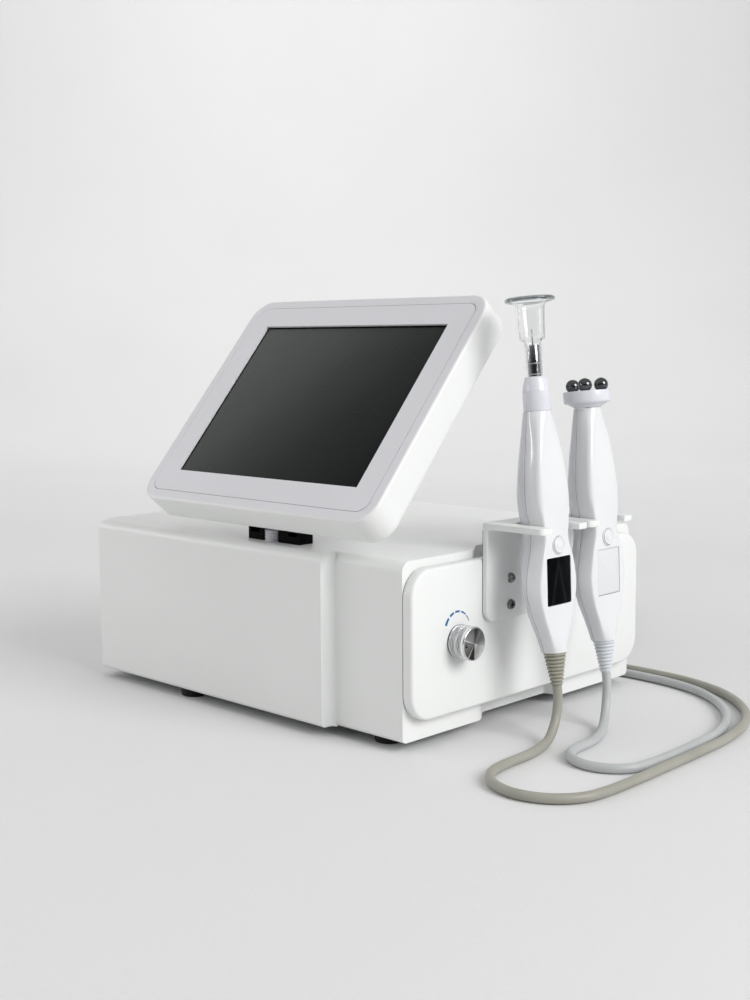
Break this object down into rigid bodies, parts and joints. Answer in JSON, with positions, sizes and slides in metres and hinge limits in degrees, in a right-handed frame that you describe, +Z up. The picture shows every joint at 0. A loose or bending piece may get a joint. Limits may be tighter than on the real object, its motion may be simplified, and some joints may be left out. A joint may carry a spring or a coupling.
{
  "type": "facial toning machine",
  "caption": "White table-top facial toning machine with a tilting touch screen, a level knob, and a vacuum cup and a turning ball-head handpiece hung in fork holders on its side",
  "frame": {"origin": "centre of the machine's own box without its cords, on the surface that it stands on", "axes": "+X to the machine's right side where the handpieces hang, +Y to its back, +Z up"},
  "size_m": [0.5369, 0.5757, 0.3389],
  "materials": {
    "white_gloss_abs": "smooth gloss moulding",
    "lilac_white_abs": "satin gloss moulding, faintly lilac",
    "white_acrylic": "polished sheet",
    "white_satin_plate": "satin label plate, left bare",
    "white_painted_steel": "fine textured powder coat",
    "black_painted_steel": "satin black coat",
    "zinc_steel": "zinc plated sheet",
    "steel_fasteners": "zinc plated",
    "chromed_fasteners": "bright nickel plated",
    "nickel_plated": "satin nickel plated",
    "turned_aluminium": "turned face and fluted grip",
    "polished_steel": "polished stainless",
    "mirror_chrome": "mirror polished",
    "brass_valve": "machined",
    "display_glass": "dark gloss, unlit",
    "clear_glass": "clear, fire polished rim",
    "black_rubber": "matte",
    "black_plastic": "fine grain",
    "braided_sleeve": "ribbed",
    "green_board": "lacquered board",
    "dark_pump": "satin coat",
    "silicone_hose": "translucent silicone",
    "warm_grey_pvc": "soft satin jacket",
    "pale_grey_pvc": "soft satin jacket",
    "black_pvc": "satin jacket"
  },
  "bodies": {
    "housing": {"housing_shell": "white_gloss_abs", "base_plate": "zinc_steel", "rear_panel": "white_painted_steel", "side_panel": "white_gloss_abs", "rubber_feet": "black_rubber", "base_screws": "steel_fasteners", "panel_screws": "steel_fasteners", "front_holder": "white_acrylic", "rear_holder": "white_acrylic", "holder_screws": "chromed_fasteners", "level_valve": "brass_valve", "screen_mount": "black_painted_steel", "hinge_pin": "steel_fasteners", "cable_sleeve": "braided_sleeve", "power_supply": "zinc_steel", "control_board": "green_board", "vacuum_pump": "dark_pump", "pump_hose": "silicone_hose", "fan_frame": "black_plastic", "mains_inlet": "black_plastic", "power_switch": "black_plastic", "cable_sockets": "nickel_plated", "vacuum_cable": "warm_grey_pvc", "vacuum_cable_coil": "warm_grey_pvc", "ball_cable": "pale_grey_pvc", "ball_cable_coil": "pale_grey_pvc", "cable_plugs": "nickel_plated", "mains_lead": "black_pvc", "mains_coil": "black_pvc", "mains_connector": "black_pvc", "mains_plug": "black_pvc"},
    "screen": {"screen_arm": "black_painted_steel", "screen_rear_cover": "white_gloss_abs", "screen_front_frame": "lilac_white_abs", "screen_overlay": "lilac_white_abs", "display_panel": "display_glass", "screen_cover_screws": "steel_fasteners"},
    "knob": {"level_knob": "turned_aluminium"},
    "fan": {"fan_rotor": "black_plastic"},
    "rocker": {"switch_rocker": "black_plastic"},
    "vacuum_handpiece": {"vacuum_front_shell": "white_gloss_abs", "vacuum_rear_shell": "white_gloss_abs", "vacuum_collar": "lilac_white_abs", "vacuum_nozzle": "polished_steel", "vacuum_display": "display_glass", "vacuum_circuit": "green_board", "vacuum_tube": "silicone_hose", "vacuum_relief": "warm_grey_pvc"},
    "cup": {"glass_cup": "clear_glass"},
    "vacuum_key": {"vacuum_button": "white_gloss_abs"},
    "ball_handpiece": {"ball_front_shell": "white_gloss_abs", "ball_rear_shell": "white_gloss_abs", "ball_plate": "white_satin_plate", "ball_circuit": "green_board", "ball_motor": "zinc_steel", "ball_relief": "pale_grey_pvc"},
    "ball_key": {"ball_button": "white_gloss_abs"},
    "head": {"turning_head": "lilac_white_abs", "head_shaft": "polished_steel", "ball_electrodes": "mirror_chrome"}
  },
  "joints": [
    {"name": "screen_tilt", "type": "hinge", "parent": "housing", "child": "screen", "pos_m": [0.0037, -0.1153, 0.158], "axis": [1, 0, 0], "range_deg": [-25, 20]},
    {"name": "knob_turn", "type": "hinge", "parent": "housing", "child": "knob", "pos_m": [0.1603, -0.0838, 0.079], "axis": [1, 0, 0], "range_deg": [-270, 0]},
    {"name": "fan_spin", "type": "hinge", "parent": "housing", "child": "fan", "pos_m": [-0.0653, 0.1547, 0.08], "axis": [0, 1, 0], "continuous": true},
    {"name": "switch_rock", "type": "hinge", "parent": "housing", "child": "rocker", "pos_m": [-0.1213, 0.1547, 0.038], "axis": [0, 0, 1], "range_deg": [-16, 0]},
    {"name": "vacuum_lift_out", "type": "slide", "parent": "housing", "child": "vacuum_handpiece", "axis": [1, 0, 0], "range_m": [0, 0.04]},
    {"name": "cup_pull", "type": "slide", "parent": "vacuum_handpiece", "child": "cup", "axis": [-0.0993, 0, 0.9951], "range_m": [0, 0.03]},
    {"name": "vacuum_press", "type": "slide", "parent": "vacuum_handpiece", "child": "vacuum_key", "axis": [-0.9951, 0, -0.0993], "range_m": [0, 0.0008], "stiffness_N_per_m": 400, "springref_m": -0.001},
    {"name": "ball_lift_out", "type": "slide", "parent": "housing", "child": "ball_handpiece", "axis": [1, 0, 0], "range_m": [0, 0.04]},
    {"name": "ball_press", "type": "slide", "parent": "ball_handpiece", "child": "ball_key", "axis": [-0.9951, 0, -0.0993], "range_m": [0, 0.0008], "stiffness_N_per_m": 400, "springref_m": -0.001},
    {"name": "head_spin", "type": "hinge", "parent": "ball_handpiece", "child": "head", "pos_m": [0.19253, 0.0337, 0.25086], "axis": [-0.0993, 0, 0.9951], "continuous": true}
  ]
}
